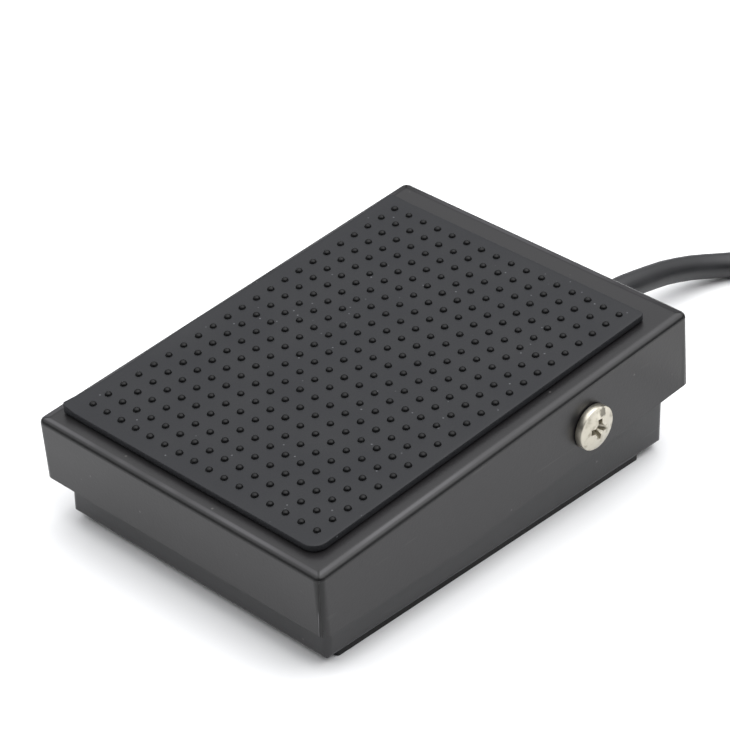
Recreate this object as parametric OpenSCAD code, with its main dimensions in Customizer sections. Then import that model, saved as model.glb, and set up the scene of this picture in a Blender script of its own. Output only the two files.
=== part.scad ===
// Foot switch: a sloping pedal cover that rocks on two side screws over a base tray.
// Pressing the low front end works a microswitch that is wired to a three-core cord.
// X runs across, Y runs from the low front to the high rear, Z is up, Z = 0 is the floor.

/* [Pedal cover] */
// Length of the cover, measured along its top
cover_len = 104.5; // [98:0.5:115]
// Width of the cover
cover_w = 76.6; // [73:0.1:88]
// Slope of the top at rest, in degrees
slope = 4.5; // [4:0.1:5.5]
// Height of the front top edge above the floor
front_h = 24.1; // [23.5:0.1:27]
// Depth of the skirt at the sides and the rear
skirt_h = 17.1; // [16.5:0.1:18]
// Depth of the skirt at the front
skirt_front_h = 14.1; // [13:0.1:15]
// Thickness of the skirt
skirt_wall = 1.6; // [1.2:0.1:1.8]
// Thickness of the top plate
top_wall = 2; // [1.6:0.1:2.4]
// Radius of the upright corners
corner_r = 1.6; // [1.2:0.1:4]
// Radius of the top edge
edge_r = 1; // [0.6:0.1:1.1]
// Thickness of the stiffening ribs under the top
rib_t = 1.4; // [1:0.1:2]
// Depth of the stiffening ribs under the top
rib_h = 1.8; // [1:0.1:2.2]

/* [Rubber pad] */
// Thickness of the pad sheet
pad_t = 1.7; // [1.2:0.1:2.5]
// Bare strip of cover beside the pad
pad_side = 4.1; // [3:0.1:8]
// Sideways offset of the pad, which is glued on by hand
pad_shift = -0.7; // [-1:0.1:1]
// Bare strip of cover in front of the pad
pad_front = 4.3; // [3:0.1:8]
// Bare strip of cover behind the pad
pad_rear = 6.7; // [3:0.1:10]
// Corner radius of the pad
pad_corner_r = 3; // [1:0.1:6]
// Distance between grip studs, both ways
stud_pitch = 4.05; // [3.5:0.05:6]
// Diameter of a grip stud
stud_d = 1.5; // [1:0.1:2.5]
// Height of a grip stud
stud_h = 0.5; // [0.3:0.1:1]
// Least distance from a stud's centre to the edge of the pad
stud_margin = 3.6; // [2:0.1:6]

/* [Base tray] */
// Thickness of the tray's walls
tray_wall = 2; // [1.6:0.1:2.4]
// Thickness of the tray's floor
tray_floor = 2; // [1.6:0.1:2.4]
// Gap between the tray and the skirt at the sides
side_gap = 1.5; // [1.3:0.1:3]
// Gap between the tray and the lower edge of the front skirt
front_gap = 1.75; // [1:0.05:2.5]
// Gap between the tray and the lower edge of the rear skirt
rear_gap = 2.4; // [1.8:0.05:3]
// Radius of the tray's bottom edge
tray_edge_r = 1; // [0.5:0.1:1.5]

/* [Foot mat] */
// Thickness of the rubber mat under the tray
mat_t = 1.5; // [1.2:0.1:3]
// Distance from the mat to the tray's sides
mat_side = 0.8; // [0.3:0.1:5]
// Distance from the mat to the tray's front
mat_front = 3.6; // [1:0.1:10]
// Distance from the mat to the tray's rear
mat_rear = 6.6; // [1:0.1:12]
// Corner radius of the mat
mat_corner_r = 0.8; // [0.5:0.1:6]

/* [Pivot] */
// Distance of the pivot from the cover's rear edge
pivot_from_rear = 30.3; // [28:0.1:32]
// Distance of the pivot below the cover's top
pivot_depth = 9.7; // [9:0.1:10.5]
// Angle that the pedal can be pressed through, in degrees
press_angle = 3; // [1.5:0.1:3]
// Diameter of the screw head
pivot_head_d = 9.5; // [8.5:0.1:11]
// Height of the screw head
pivot_head_h = 2.4; // [2:0.1:3.5]
// Diameter of the smooth shoulder that the cover turns on
shoulder_d = 6.4; // [6:0.1:7]
// Diameter of the screw's thread
pivot_thread_d = 5; // [4:0.1:5.4]
// Width of the pivot nut across its flats
pivot_nut_af = 8; // [7.5:0.1:8.5]
// Thickness of the pivot nut
pivot_nut_h = 4; // [3:0.1:4.5]
// Outer diameter of the spacing washer
washer_d = 11; // [9:0.1:12]

/* [Return spring] */
// Outer diameter of the spring
spring_d = 11; // [10:0.1:12]
// Diameter of the spring wire
spring_wire = 1; // [0.7:0.05:1.2]
// Number of working turns
spring_turns = 5; // [4:0.5:6]
// Distance of the spring's axis from the tray's front
spring_from_front = 9.3; // [9:0.1:11]
// Height of the posts that centre the spring
spring_post_h = 4; // [2:0.5:4]

/* [Microswitch] */
// Length of the case
case_len = 27.8; // [27:0.1:29]
// Height of the case
case_h = 15.9; // [15.5:0.1:16.2]
// Width of the case
case_w = 10.3; // [10:0.1:11]
// Wall of the case
case_wall = 1.5; // [1.2:0.1:1.6]
// Thickness of the plate that closes the case
lid_t = 1.2; // [1:0.1:1.5]
// Height of the case above the tray's floor
case_lift = 2.5; // [2:0.1:2.7]
// Distance of the plunger in front of the pivot
plunger_reach = 28; // [26:0.5:30]
// Distance of the plunger from the front of the case
plunger_inset = 7.7; // [7.5:0.1:8]
// Diameter of the plunger
plunger_d = 3.2; // [2.8:0.1:3.4]
// Height of the plunger above the case at rest
plunger_proud = 1.6; // [1.6:0.1:1.8]
// Diameter of the fixing screws
small_screw_d = 3; // [2.6:0.1:3]
// Width of the terminals
tab_w = 4.75; // [4:0.05:4.8]
// Thickness of the terminals
tab_t = 0.5; // [0.4:0.1:0.6]
// Length of the terminals outside the case
tab_len = 6.4; // [6:0.1:7]
// Gap that the moving contact crosses
contact_gap = 0.5; // [0.3:0.1:0.6]

/* [Switch bracket] */
// Thickness of the bracket's sheet
bracket_t = 1.2; // [1:0.1:1.5]
// Width of the bracket's foot
bracket_foot = 12; // [11.5:0.5:16]
// Height of the bosses under the bracket
boss_h = 4; // [3.5:0.1:4.5]
// Diameter of the bosses under the bracket
boss_d = 7; // [6.5:0.1:8]

/* [Cord] */
// Diameter of the cord
cord_d = 5.5; // [5:0.1:6]
// Height of the cord's axis where it leaves the tray
cord_exit_h = 10; // [9.8:0.1:10.2]
// Length of the strain relief outside the tray
relief_len = 22; // [20:1:26]
// Diameter of the bushing's neck in the rear wall
bushing_neck_d = 8.6; // [8.2:0.1:9]
// Diameter of the bushing's flanges
bushing_flange_d = 11; // [10.5:0.1:12]
// Thickness of the bushing's flanges
bushing_flange_t = 1.6; // [1.2:0.1:1.7]
// Diameter of one insulated core
core_d = 1.8; // [1.5:0.1:1.9]
// Width of the cord clamp along the cord
clamp_w = 6; // [5.8:0.5:8]
// Thickness of the clamp's sheet
clamp_t = 1.2; // [1:0.1:1.5]

/* [Clearances] */
// Radial clearance of a shaft or screw in its hole
fit = 0.05; // [0.03:0.01:0.1]
// Clearance between faces that nearly meet
face_gap = 0.2; // [0.15:0.01:0.3]

/* [Hidden] */
$fn = 48;
eps = 0.01;
over = 1;            // how far a cutter runs past the face it opens

// Where a point of the cover's own frame lies, with y along the slope and z square to it
function at_y(y, z) = cover_y + y * cos(slope) - z * sin(slope);
function at_z(y, z) = cover_z + y * sin(slope) + z * cos(slope);
cover_z = front_h + cover_len / 2 * sin(slope);
cover_y = -(skirt_h - edge_r) * sin(slope) / 2;
under_z = -top_wall;
skirt_bend_y = -cover_len / 2 + (skirt_h - skirt_front_h) / tan(slope);

// Pivot axis
pivot_y = at_y(cover_len / 2 - pivot_from_rear, -pivot_depth);
pivot_z = at_z(cover_len / 2 - pivot_from_rear, -pivot_depth);
skirt_in_x = cover_w / 2 - skirt_wall;
slit_w = 0.5;
slit_h = 1.4;
slit_reach = 2 * skirt_wall + corner_r;

// Base tray
tray_w = cover_w - 2 * (skirt_wall + side_gap);
tray_front_y = at_y(-cover_len / 2 + skirt_wall, -skirt_front_h) + front_gap;
tray_rear_y = at_y(cover_len / 2 - skirt_wall, -skirt_h) - rear_gap;
tray_len = tray_rear_y - tray_front_y;
tray_mid_y = (tray_rear_y + tray_front_y) / 2;
tray_in_x = tray_w / 2 - tray_wall;
floor_z = mat_t + tray_floor;
tray_reach = pivot_depth - top_wall - face_gap;     // from the pivot up to the wall tops
pivot_boss_t = 1.5;
pivot_boss_d = 13;
function rim_z(y, angle) = pivot_z + tray_reach / cos(angle) + (y - pivot_y) * tan(angle);
floor_rib_x = 24;
floor_rib_h = 3;

// Pivot screws
shoulder_len = skirt_wall + side_gap + face_gap;
thread_len = tray_wall + pivot_boss_t + pivot_nut_h + over;
washer_t = side_gap - face_gap;
cross_w = 1.2;
cross_len = 5;
cross_depth = 1.6;

// Return spring
spring_y = tray_front_y + spring_from_front;
spring_seat_z = floor_z + 1;
spring_top_z = at_z((spring_y - cover_y) / cos(slope), under_z) - 1.2;
spring_post_d = spring_d - 2 * spring_wire - 1.4;
spring_sides = 8;
spring_steps = 20;

// Microswitch: t runs forward from the rear end of the case, h up from its bottom
case_z = floor_z + case_lift;
plunger_y = pivot_y - plunger_reach;
case_rear_y = plunger_y - plunger_inset + case_len;
plunger_t = case_len - plunger_inset;
plunger_travel = plunger_reach * sin(press_angle);
plunger_top_z = case_z + case_h + plunger_proud;
hole_inset = 2.8;
hole_low = 2.5;
hole_high = 12.8;
holes = [[hole_inset, hole_high], [case_len - hole_inset, hole_low]];
hole_land_r = 3;
blade_t0 = 6.25;
blade_h = 8.2;
blade_thick = 0.3;
blade_w = 4;
blade_root_r = 0.4;
contact_t = case_len - 4.4;
contact_r = 1.1;
contact_h = 0.5;
rivet_h = 0.7;
nc_h = blade_h + blade_thick / 2 + contact_h + fit + rivet_h;
no_h = blade_h - blade_thick / 2 - contact_h - fit - contact_gap - rivet_h - tab_t;
com_h = 3.5;
plate_t = case_len - 5.8;

// Fasteners for the switch, the bracket and the clamp
small_head_d = 5.6;
small_head_h = 2;
small_cross_w = 0.8;
small_cross_len = 3.2;
small_cross_depth = 1;
small_nut_af = 5.5;
small_nut_h = 2.4;
pilot_r = small_screw_d / 2 - 0.1;
bracket_z = floor_z + boss_h;
bracket_len = case_len;
bracket_x = case_w / 2;
boss_x = bracket_x + bracket_t + boss_d / 2;
boss_inset = [5, 17.5];
boss_y = [for (inset = boss_inset) case_rear_y - inset];
tap_screw_len = 4.6;

// Receptacles on the terminals
shell_w = tab_w + 1.4;
shell_h = tab_t + 1.8;
shell_len = tab_len + 0.6;
barrel_d = core_d + 1;
barrel_len = 4;
barrel_bite = 3;

// Cord inside the tray
cord_r = cord_d / 2;
clamp_y = tray_rear_y - tray_wall - bushing_flange_t - 5;
sheath_end_y = clamp_y - clamp_w / 2 - 1.5;
relief_tip_y = tray_rear_y + relief_len;
clamp_screw_x = cord_r + 5;
clamp_ear = 4.2;
cradle_len = clamp_w + 1;
clamp_foot_z = cord_exit_h - face_gap;

// Free cord: out of the strain relief, down to the floor, round to the coil
coil_x = 62;
coil_y = 110;
coil_mean_r = 30;
coil_turns_wide = 3;
coil_layers = 3;
coil_half = coil_turns_wide * cord_d / 2;
coil_h = coil_layers * cord_d;
cord_sides = 10;
lead_points = [
    [0, relief_tip_y, cord_exit_h], [0, relief_tip_y + 4, cord_exit_h], [0.1, 80, 9.4], [0.1, 85.4, 8.4],
    [0.1, 91, 7.3], [0.5, 96, 6.1], [1.2, 100.4, 5], [2.3, 104.3, 4],
    [3.8, 108, 3.2], [6, 112, 2.75], [9, 116.5, 2.75], [12.5, 121, 2.75],
    [17, 125, 2.75], [22, 128.2, 2.75], [28, 131.6, 2.75], [34, 135, 2.75],
    [40, 138.4, 2.75], [44.2, 140.8, 2.75]
];
tail_points = [
    [62, 85.5, 13.8], [54, 86.8, 14.6], [45.6, 90.4, 16.4], [38.2, 96.4, 18.2],
    [33.6, 103.6, 19.2], [32, 110, 19.3], [33.2, 118.4, 19.3], [37.4, 127, 19.3],
    [44, 134, 19.3], [52, 138.2, 19.3]
];
core_dia_end = 1.6;
core_show = 14;

// ---------- shared shapes ----------

// Rectangle with rounded corners, centred
module rounded_rect(w, l, r) {
    square([w - 2 * r, l], center = true);
    square([w, l - 2 * r], center = true);
    for (sx = [-1, 1], sy = [-1, 1])
        translate([sx * (w / 2 - r), sy * (l / 2 - r)]) circle(r);
}

// Block with round upright corners and a round top edge, its top at z = 0
module rounded_block(w, l, h, r, e) {
    translate([0, 0, -h]) linear_extrude(h - e) rounded_rect(w, l, r);
    translate([0, 0, -e - eps]) linear_extrude(e + eps) rounded_rect(w - 2 * e, l - 2 * e, r - e);
    for (s = [-1, 1]) {
        translate([s * (w / 2 - e), 0, -e]) rotate([90, 0, 0])
            cylinder(r = e, h = l - 2 * r, center = true);
        translate([0, s * (l / 2 - e), -e]) rotate([0, 90, 0])
            cylinder(r = e, h = w - 2 * r, center = true);
    }
    for (sx = [-1, 1], sy = [-1, 1])
        translate([sx * (w / 2 - r), sy * (l / 2 - r), -e]) rotate_extrude()
            intersection() {
                translate([r - e, 0]) circle(e);
                translate([0, -e]) square([r, 2 * e]);
            }
}

// Extrudes an outline drawn in Y and Z across X, from x0 to x1
module across(x0, x1) {
    translate([x0, 0, 0]) rotate([90, 0, 90]) linear_extrude(x1 - x0) children();
}

// Cylinder along X, from x0 to x1
module rod_x(r, x0, x1) {
    translate([x0, 0, 0]) rotate([0, 90, 0]) cylinder(r = r, h = x1 - x0);
}

// Cylinder along Y, from y0 to y1
module rod_y(r, y0, y1) {
    translate([0, y1, 0]) rotate([90, 0, 0]) cylinder(r = r, h = y1 - y0);
}

// Six-sided nut with its axis along X, from x0, with a plain hole
module nut_x(af, h, hole_r, x0) {
    translate([x0, 0, 0]) rotate([0, 90, 0]) difference() {
        cylinder(r = af / 2 / cos(30), h = h, $fn = 6);
        translate([0, 0, -over]) cylinder(r = hole_r, h = h + 2 * over);
    }
}

// Pan head, its seat at z = 0, with a cross recess
module pan_head(d, h, slot_w, slot_len, slot_depth) {
    difference() {
        intersection() {
            cylinder(d = d, h = h);
            translate([0, 0, h - d * 0.85]) sphere(d * 0.85, $fn = 96);
        }
        for (turn = [0, 90]) rotate(turn)
            translate([-slot_len / 2, -slot_w / 2, h - slot_depth])
                cube([slot_len, slot_w, slot_depth + over]);
    }
}

// Head of the small screws
module small_head() {
    pan_head(small_head_d, small_head_h, small_cross_w, small_cross_len, small_cross_depth);
}

// Unit vector of v
function unit(v) = v / norm(v);

// Direction of a route at point i
function heading(p, i) =
    unit(p[min(i + 1, len(p) - 1)] - p[max(i - 1, 0)]);

// Ring of points round point c, square to direction d
function ring(c, d, r, n) =
    let (side = unit(cross(d, abs(d[2]) > 0.9 ? [0, 1, 0] : [0, 0, 1])), lift = cross(side, d))
    [for (k = [0:n - 1]) c + r * (cos(360 * k / n) * side + sin(360 * k / n) * lift)];

// Round tube of radius r through the points p, with n sides
module tube(p, r, n) {
    rings = [for (i = [0:len(p) - 1]) each ring(p[i], heading(p, i), r, n)];
    last = len(p) - 1;
    walls = [for (i = [0:last - 1], k = [0:n - 1]) let (a = i * n + k, b = i * n + (k + 1) % n)
        each [[a, b, b + n], [a, b + n, a + n]]];
    caps = [[for (k = [n - 1:-1:0]) k], [for (k = [0:n - 1]) last * n + k]];
    polyhedron(points = rings, faces = concat(walls, caps));
}

// ---------- placing ----------

// Puts a shape drawn in the cover's frame into place
module on_cover() {
    translate([0, cover_y, cover_z]) rotate([slope, 0, 0]) children();
}

// Puts a shape drawn round the pivot axis into place
module on_pivot() {
    translate([0, pivot_y, pivot_z]) children();
}

// Puts a shape drawn in the switch's t and h into place, t running forward
module in_switch() {
    translate([0, case_rear_y, case_z]) mirror([0, 1, 0]) children();
}

// ---------- base ----------

// Outline w wide and h tall, standing on y = 0, with round bottom corners
module round_footed(w, h, r) {
    translate([-w / 2, r]) square([w, h - r]);
    translate([r - w / 2, 0]) square([w - 2 * r, h]);
    for (s = [-1, 1]) translate([s * (w / 2 - r), r]) circle(r);
}

// Side view of the tray's walls: the rim clears the cover at rest and fully pressed
module tray_profile() {
    polygon([[tray_front_y, mat_t], [tray_rear_y, mat_t],
             [tray_rear_y, rim_z(tray_rear_y, slope)],
             [pivot_y, rim_z(pivot_y, slope)],
             [tray_front_y, rim_z(tray_front_y, slope + press_angle)]]);
}

module tray_outer() {
    intersection() {
        translate([0, tray_mid_y, mat_t]) linear_extrude(2 * front_h) rounded_rect(tray_w, tray_len, corner_r);
        translate([0, tray_mid_y, mat_t]) across(-tray_w, tray_w)
            round_footed(tray_len, 2 * front_h, tray_edge_r);
        translate([0, 2 * tray_len, mat_t]) rotate([90, 0, 0]) linear_extrude(4 * tray_len)
            round_footed(tray_w, 2 * front_h, tray_edge_r);
        across(-tray_w, tray_w) tray_profile();
    }
}

module base_tray() {
    color("#3f3f41") difference() {
        union() {
            difference() {
                tray_outer();
                translate([0, tray_mid_y, floor_z]) linear_extrude(2 * front_h)
                    rounded_rect(2 * tray_in_x, tray_len - 2 * tray_wall, corner_r / 2);
            }
            for (s = [-1, 1]) {
                on_pivot() rod_x(pivot_boss_d / 2, s > 0 ? tray_in_x - pivot_boss_t : -tray_in_x,
                                 s > 0 ? tray_in_x : pivot_boss_t - tray_in_x);
                translate([s * floor_rib_x - rib_t / 2, tray_front_y + tray_wall / 2, floor_z - eps])
                    cube([rib_t, tray_len - tray_wall, floor_rib_h]);
            }
            spring_seat();
            for (y = boss_y) translate([boss_x, y, floor_z - eps]) cylinder(d = boss_d, h = boss_h);
            cord_cradle();
        }
        on_pivot() rod_x(pivot_thread_d / 2 + fit, -tray_w, tray_w);
        translate([0, 0, cord_exit_h])
            rod_y(bushing_neck_d / 2 + fit, tray_rear_y - tray_wall - over, tray_rear_y + over);
        for (y = boss_y) translate([boss_x, y, bracket_z + bracket_t]) pilot_hole();
        for (s = [-1, 1]) translate([s * clamp_screw_x, clamp_y, clamp_foot_z + clamp_t]) pilot_hole();
    }
}

module spring_seat() {
    translate([0, spring_y, floor_z - eps]) {
        cylinder(d = spring_d + 2, h = spring_seat_z - floor_z + eps);
        cylinder(d = spring_post_d, h = spring_seat_z - floor_z + spring_post_h);
    }
}

// Hole for a tapping screw whose head seats at z = 0
module pilot_hole() {
    translate([0, 0, -tap_screw_len - face_gap]) cylinder(r = pilot_r + fit, h = tap_screw_len + face_gap);
}

// Block with a round groove that the cord lies in under its clamp
module cord_cradle() {
    half = clamp_screw_x + clamp_ear;
    difference() {
        translate([-half, clamp_y - cradle_len / 2, floor_z - eps])
            cube([2 * half, cradle_len, clamp_foot_z - fit - floor_z + eps]);
        translate([0, 0, cord_exit_h]) rod_y(cord_r + fit, clamp_y - cradle_len, clamp_y + cradle_len);
    }
}

module foot_mat() {
    mat_len = tray_len - mat_front - mat_rear;
    color("#232324") translate([0, tray_front_y + mat_front + mat_len / 2, 0])
        linear_extrude(mat_t) rounded_rect(tray_w - 2 * mat_side, mat_len, mat_corner_r);
}

// ---------- pivot ----------

module pivot_screws() {
    color("#b9b7ad") on_pivot() for (s = [0, 1]) mirror([s, 0, 0]) {
        seat = tray_w / 2 + shoulder_len;
        translate([seat, 0, 0]) rotate([0, 90, 0])
            pan_head(pivot_head_d, pivot_head_h, cross_w, cross_len, cross_depth);
        rod_x(shoulder_d / 2, tray_w / 2 + fit, seat + eps);
        rod_x(pivot_thread_d / 2, tray_w / 2 - thread_len, tray_w / 2 + 2 * fit);
    }
}

module pivot_washers() {
    color("#d8d4c4") on_pivot() for (s = [0, 1]) mirror([s, 0, 0]) difference() {
        rod_x(washer_d / 2, tray_w / 2 + fit, tray_w / 2 + washer_t);
        rod_x(shoulder_d / 2 + fit, tray_w / 2 - over, tray_w / 2 + washer_t + over);
    }
}

module pivot_nuts() {
    color("#b9b7ad") on_pivot() for (s = [0, 1]) mirror([s, 0, 0])
        nut_x(pivot_nut_af, pivot_nut_h, pivot_thread_d / 2 + fit,
              tray_in_x - pivot_boss_t - pivot_nut_h - fit);
}

// ---------- spring ----------

// One turn lies flat at each end, and the working turns rise between them
module return_spring() {
    turns = spring_turns + 2;
    low = spring_seat_z + spring_wire / 2 + face_gap;
    rise = spring_top_z - spring_seat_z - spring_wire - 2 * face_gap;
    r = (spring_d - spring_wire) / 2;
    n = turns * spring_steps;
    path = [for (i = [0:n])
        let (a = i / spring_steps, f = max(0, min(1, (a - 1) / spring_turns)))
        [r * cos(360 * a), spring_y + r * sin(360 * a),
         low + spring_wire * min(a, 1) * 0.99 + (rise - 2 * spring_wire) * f
         + spring_wire * max(0, a - spring_turns - 1) * 0.99]];
    color("#9fa1a3") tube(path, spring_wire / 2, spring_sides);
}

// ---------- microswitch ----------

module in_screw_holes(r) {
    for (p = holes) translate([0, p[0], p[1]]) rod_x(r, -2 * case_w, 2 * case_w);
}

module switch_case() {
    color("#26211d") in_switch() difference() {
        translate([-case_w / 2 + lid_t, 0, 0]) cube([case_w - lid_t, case_len, case_h]);
        difference() {
            translate([-case_w / 2, case_wall, case_wall])
                cube([case_w - case_wall, case_len - 2 * case_wall, case_h - 2 * case_wall]);
            in_screw_holes(hole_land_r);
        }
        in_screw_holes(small_screw_d / 2 + fit);
        translate([0, plunger_t, case_h - 2 * case_wall])
            cylinder(r = plunger_d / 2 + fit, h = 3 * case_wall);
        tab_slot(com_h, -over, 2 * case_wall);
        for (h = [no_h, nc_h]) tab_slot(h, case_len - 2 * case_wall, case_len + over);
    }
}

// Slot through an end wall for a terminal at height h
module tab_slot(h, t0, t1) {
    translate([-tab_w / 2 - fit, t0, h - fit]) cube([tab_w + 2 * fit, t1 - t0, tab_t + 2 * fit]);
}

module switch_lid() {
    color("#26211d") in_switch() difference() {
        translate([-case_w / 2, 0, 0]) cube([lid_t - fit, case_len, case_h]);
        in_screw_holes(small_screw_d / 2 + fit);
    }
}

module switch_plunger() {
    flange_h = 1;
    tip_h = blade_h + blade_thick / 2 + plunger_travel;
    color("#a02c22") in_switch() translate([0, plunger_t, 0]) {
        translate([0, 0, tip_h]) cylinder(d = plunger_d, h = case_h + plunger_proud - tip_h);
        translate([0, 0, case_h - case_wall - face_gap - flange_h])
            cylinder(d = plunger_d + 1.4, h = flange_h);
    }
}

// Spring blade that carries the moving contact between the two fixed ones
module contact_blade() {
    color("#c08a4e") in_switch() {
        translate([0, blade_t0, blade_h]) rod_x(blade_root_r, -blade_w / 2, blade_w / 2);
        translate([-blade_w / 2, blade_t0, blade_h - blade_thick / 2])
            cube([blade_w, contact_t + contact_r - blade_t0, blade_thick]);
        translate([0, contact_t, blade_h - blade_thick / 2 - contact_h])
            cylinder(r = contact_r, h = blade_thick + 2 * contact_h);
    }
}

module com_terminal() {
    leg_top = blade_h - blade_root_r - fit;
    color("#c9b067") in_switch() {
        translate([-tab_w / 2, -tab_len, com_h]) cube([tab_w, tab_len + blade_t0 + tab_t / 2, tab_t]);
        translate([-blade_w / 2, blade_t0 - tab_t / 2, com_h]) cube([blade_w, tab_t, leg_top - com_h]);
    }
}

// Flat terminal at height h with its contact rivet on the side named by up
module fixed_terminal(h, up) {
    color("#c9b067") in_switch() {
        translate([-tab_w / 2, plate_t, h]) cube([tab_w, case_len + tab_len - plate_t, tab_t]);
        translate([0, contact_t, up ? h + tab_t - eps : h - rivet_h])
            cylinder(r = contact_r, h = rivet_h + eps);
    }
}

module no_terminal() {
    fixed_terminal(no_h, true);
}

module nc_terminal() {
    fixed_terminal(nc_h, false);
}

module switch_screws() {
    color("#b9b7ad") in_switch() for (p = holes) translate([0, p[0], p[1]]) {
        rod_x(small_screw_d / 2, -case_w / 2 - fit - eps, bracket_x + bracket_t + small_nut_h + over);
        translate([-case_w / 2 - fit, 0, 0]) rotate([0, -90, 0])
            small_head();
    }
}

module switch_nuts() {
    color("#b9b7ad") in_switch() for (p = holes) translate([0, p[0], p[1]])
        nut_x(small_nut_af, small_nut_h, small_screw_d / 2 + fit, bracket_x + bracket_t + 2 * fit);
}

// Angle of sheet steel: an upright web beside the switch and a foot on the bosses
module switch_bracket() {
    top = case_z + case_h - bracket_z;
    color("#a9abad") difference() {
        union() {
            translate([bracket_x + fit, case_rear_y - bracket_len, bracket_z])
                cube([bracket_t, bracket_len, top]);
            translate([bracket_x + fit, case_rear_y - bracket_len, bracket_z])
                cube([bracket_foot, bracket_len, bracket_t]);
        }
        in_switch() in_screw_holes(small_screw_d / 2 + fit);
        in_switch() translate([0, holes[1][0], holes[1][1]])
            rod_x(small_head_d / 2 + 1, bracket_x + bracket_t + 2 * fit, 2 * bracket_foot);
        for (y = boss_y) translate([boss_x, y, bracket_z - over])
            cylinder(r = small_screw_d / 2 + fit, h = bracket_t + 2 * over);
    }
}

// Screw with its head on a face at z = 0 and its shank below
module tapping_screw() {
    small_head();
    translate([0, 0, fit - tap_screw_len]) cylinder(r = pilot_r, h = tap_screw_len);
}

module bracket_screws() {
    color("#b9b7ad") for (y = boss_y) translate([boss_x, y, bracket_z + bracket_t + fit]) tapping_screw();
}

// ---------- wiring ----------

// Crimped push-on connector for a terminal whose middle is at z = 0, opening towards -Y
module receptacle() {
    difference() {
        union() {
            translate([-shell_w / 2, 0, -shell_h / 2]) cube([shell_w, shell_len, shell_h]);
            rod_y(barrel_d / 2, shell_len - over, shell_len + barrel_len);
        }
        translate([-tab_w / 2 - fit, -over, -tab_t / 2 - fit])
            cube([tab_w + 2 * fit, tab_len + over, tab_t + 2 * fit]);
        rod_y(core_d / 2 + fit, shell_len + barrel_len - barrel_bite, shell_len + barrel_len + over);
    }
}

module on_com_tab() {
    translate([0, case_rear_y + face_gap, case_z + com_h + tab_t / 2]) children();
}

module on_front_tab(h) {
    translate([0, case_rear_y - case_len - face_gap, case_z + h + tab_t / 2]) rotate(180) children();
}

module wire_receptacles() {
    color("#c9b067") {
        on_com_tab() receptacle();
        on_front_tab(no_h) receptacle();
        on_front_tab(nc_h) receptacle();
    }
}

wire_in = shell_len + barrel_len - barrel_bite + fit;
com_wire_y = case_rear_y + face_gap + wire_in;
front_wire_y = case_rear_y - case_len - face_gap - wire_in;
core_spread = cord_r - core_d / 2 - 0.4;
no_wire_x = bracket_x + bracket_foot + core_d;
nc_wire_x = -case_w / 2 - small_head_h - core_d - 1;
wire_bend = 4.4;
wire_turn_y = case_rear_y + 2;

// Route of a core from a front terminal at height h, back beside the case at x and z to the sheath
function front_wire(h, x, z, end_x, end_z) = let (side = sign(x), b = wire_bend, y0 = front_wire_y) [
    [0, y0, h], [0, y0 - b, h], [side * 0.4 * b, y0 - 1.5 * b, h],
    [side * b, y0 - 1.65 * b, (h + z) / 2], [x - side * 0.45 * b, y0 - 1.2 * b, z], [x, y0, z],
    [x, plunger_y, z], [x, wire_turn_y, z], [x - side * 0.4 * b, wire_turn_y + b, z],
    [(x + end_x) / 2, (wire_turn_y + 1.5 * b + sheath_end_y) / 2, (z + end_z) / 2],
    [end_x, sheath_end_y - 0.8 * b, end_z], [end_x, sheath_end_y - fit, end_z]
];

module com_wire() {
    z = case_z + com_h + tab_t / 2;
    end_z = cord_exit_h + core_spread;
    color("#a8281f") tube([
        [0, com_wire_y, z], [0, com_wire_y + barrel_bite + 0.5, z],
        [0, (com_wire_y + barrel_bite + sheath_end_y) / 2, (z + end_z) / 2],
        [0, sheath_end_y - 1, end_z], [0, sheath_end_y - fit, end_z]
    ], core_d / 2, 8);
}

module no_wire() {
    color("#2a5aa8") tube(front_wire(case_z + no_h + tab_t / 2, no_wire_x, floor_z + 3,
                                     core_spread, cord_exit_h - 0.6), core_d / 2, 8);
}

module nc_wire() {
    color("#d8b21e") tube(front_wire(case_z + nc_h + tab_t / 2, nc_wire_x, floor_z + 4,
                                     -core_spread, cord_exit_h - 0.6), core_d / 2, 8);
}

module inner_sheath() {
    color("#333336") translate([0, 0, cord_exit_h]) rod_y(cord_r, sheath_end_y, relief_tip_y);
}

// Rubber bushing: an inner flange, a neck in the wall, an outer flange and a tapered sleeve
module cord_bushing() {
    flange_r = bushing_flange_d / 2;
    neck_r = bushing_neck_d / 2;
    bore_r = cord_r + fit;
    color("#2a2a2c") translate([0, tray_rear_y, cord_exit_h]) rotate([-90, 0, 0]) rotate_extrude()
        polygon([[bore_r, -tray_wall - bushing_flange_t], [flange_r, -tray_wall - bushing_flange_t],
                 [flange_r, -tray_wall - fit], [neck_r, -tray_wall - fit], [neck_r, fit],
                 [flange_r, fit], [flange_r, bushing_flange_t], [neck_r, bushing_flange_t + 0.6],
                 [bore_r + 0.9, relief_len - 0.6], [bore_r + 0.5, relief_len - fit],
                 [bore_r, relief_len - fit]]);
}

// Steel saddle over the cord, with an ear each side
module cord_clamp() {
    z0 = clamp_foot_z;
    ear = clamp_screw_x + clamp_ear;
    color("#a9abad") difference() {
        union() {
            translate([0, 0, cord_exit_h])
                rod_y(cord_r + fit + clamp_t, clamp_y - clamp_w / 2, clamp_y + clamp_w / 2);
            translate([-ear, clamp_y - clamp_w / 2, z0]) cube([2 * ear, clamp_w, clamp_t]);
        }
        translate([0, 0, cord_exit_h]) rod_y(cord_r + fit, clamp_y - clamp_w, clamp_y + clamp_w);
        translate([-ear, clamp_y - clamp_w, z0 - 2 * cord_d]) cube([2 * ear, 2 * clamp_w, 2 * cord_d]);
        for (s = [-1, 1]) translate([s * clamp_screw_x, clamp_y, z0 - over])
            cylinder(r = small_screw_d / 2 + fit, h = clamp_t + 2 * over);
    }
}

module clamp_screws() {
    color("#b9b7ad") for (s = [-1, 1])
        translate([s * clamp_screw_x, clamp_y, clamp_foot_z + clamp_t + fit]) tapping_screw();
}

// ---------- pedal ----------

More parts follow.
